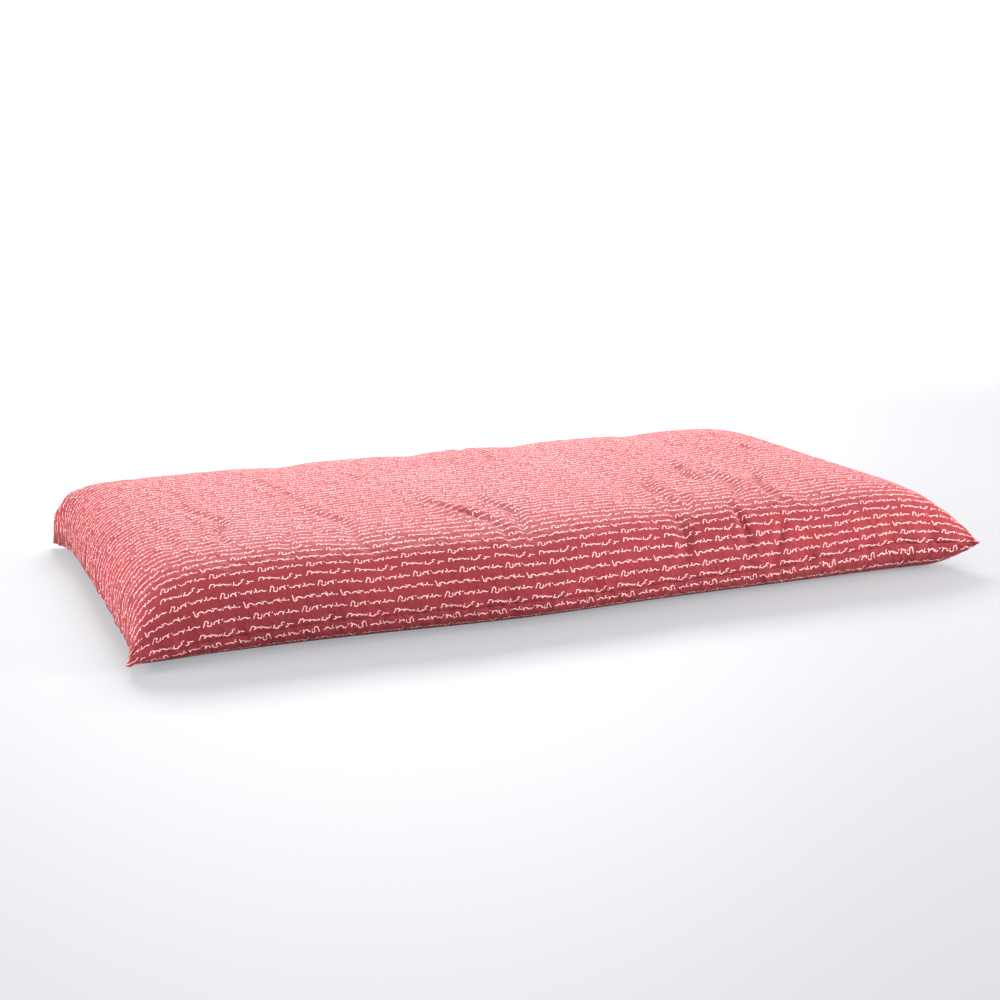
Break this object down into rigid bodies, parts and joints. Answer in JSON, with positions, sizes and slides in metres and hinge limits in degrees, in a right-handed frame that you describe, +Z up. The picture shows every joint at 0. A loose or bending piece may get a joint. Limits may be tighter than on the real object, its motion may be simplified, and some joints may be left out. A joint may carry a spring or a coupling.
{
  "type": "futon mattress",
  "caption": "Thick tufted cotton futon mattress lying flat in a loose printed knife-edge cover with pointed corners and a zip along one long side.",
  "frame": {"origin": "centre of the mattress's footprint on the floor", "axes": "+X along the length, +Y across the width towards the zip side, +Z up"},
  "size_m": [2.044, 1.244, 0.205],
  "materials": {
    "cover_cotton": "matte",
    "ticking": "matte",
    "cotton_batting": "matte",
    "tuft_twine": "matte",
    "tuft_felt": "matte",
    "zip_tape": "matte",
    "zip_teeth": "satin",
    "zip_slider": "satin"
  },
  "bodies": {
    "mattress": {"cover_top_panel": "cover_cotton", "cover_bottom_panel": "cover_cotton", "casing_top_panel": "ticking", "casing_bottom_panel": "ticking", "cotton_layer_1": "cotton_batting", "cotton_layer_2": "cotton_batting", "cotton_layer_3": "cotton_batting", "cotton_layer_4": "cotton_batting", "cotton_layer_5": "cotton_batting", "cotton_layer_6": "cotton_batting", "tuft_tie_A1": "tuft_twine", "tuft_tie_A2": "tuft_twine", "tuft_tie_A3": "tuft_twine", "tuft_tie_A4": "tuft_twine", "tuft_tie_B1": "tuft_twine", "tuft_tie_B2": "tuft_twine", "tuft_tie_B3": "tuft_twine", "tuft_tie_B4": "tuft_twine", "tuft_tie_C1": "tuft_twine", "tuft_tie_C2": "tuft_twine", "tuft_tie_C3": "tuft_twine", "tuft_tie_C4": "tuft_twine", "tuft_washer_top_A1": "tuft_felt", "tuft_washer_top_A2": "tuft_felt", "tuft_washer_top_A3": "tuft_felt", "tuft_washer_top_A4": "tuft_felt", "tuft_washer_top_B1": "tuft_felt", "tuft_washer_top_B2": "tuft_felt", "tuft_washer_top_B3": "tuft_felt", "tuft_washer_top_B4": "tuft_felt", "tuft_washer_top_C1": "tuft_felt", "tuft_washer_top_C2": "tuft_felt", "tuft_washer_top_C3": "tuft_felt", "tuft_washer_top_C4": "tuft_felt", "tuft_washer_under_A1": "tuft_felt", "tuft_washer_under_A2": "tuft_felt", "tuft_washer_under_A3": "tuft_felt", "tuft_washer_under_A4": "tuft_felt", "tuft_washer_under_B1": "tuft_felt", "tuft_washer_under_B2": "tuft_felt", "tuft_washer_under_B3": "tuft_felt", "tuft_washer_under_B4": "tuft_felt", "tuft_washer_under_C1": "tuft_felt", "tuft_washer_under_C2": "tuft_felt", "tuft_washer_under_C3": "tuft_felt", "tuft_washer_under_C4": "tuft_felt", "zip_tape_upper": "zip_tape", "zip_tape_lower": "zip_tape", "zip_teeth_upper": "zip_teeth", "zip_teeth_lower": "zip_teeth", "zip_top_stop_upper": "zip_teeth", "zip_top_stop_lower": "zip_teeth", "zip_bottom_stop": "zip_teeth"},
    "slider": {"zip_slider": "zip_slider"},
    "pull": {"zip_pull": "zip_slider"}
  },
  "joints": [
    {"name": "zip_slide", "type": "slide", "parent": "mattress", "child": "slider", "axis": [-1, 0, 0], "range_m": [0, 1.677]},
    {"name": "pull_hinge", "type": "hinge", "parent": "slider", "child": "pull", "pos_m": [0.83895, 0.6016, 0.055], "axis": [0, 0, -1], "range_deg": [0, 170]}
  ]
}
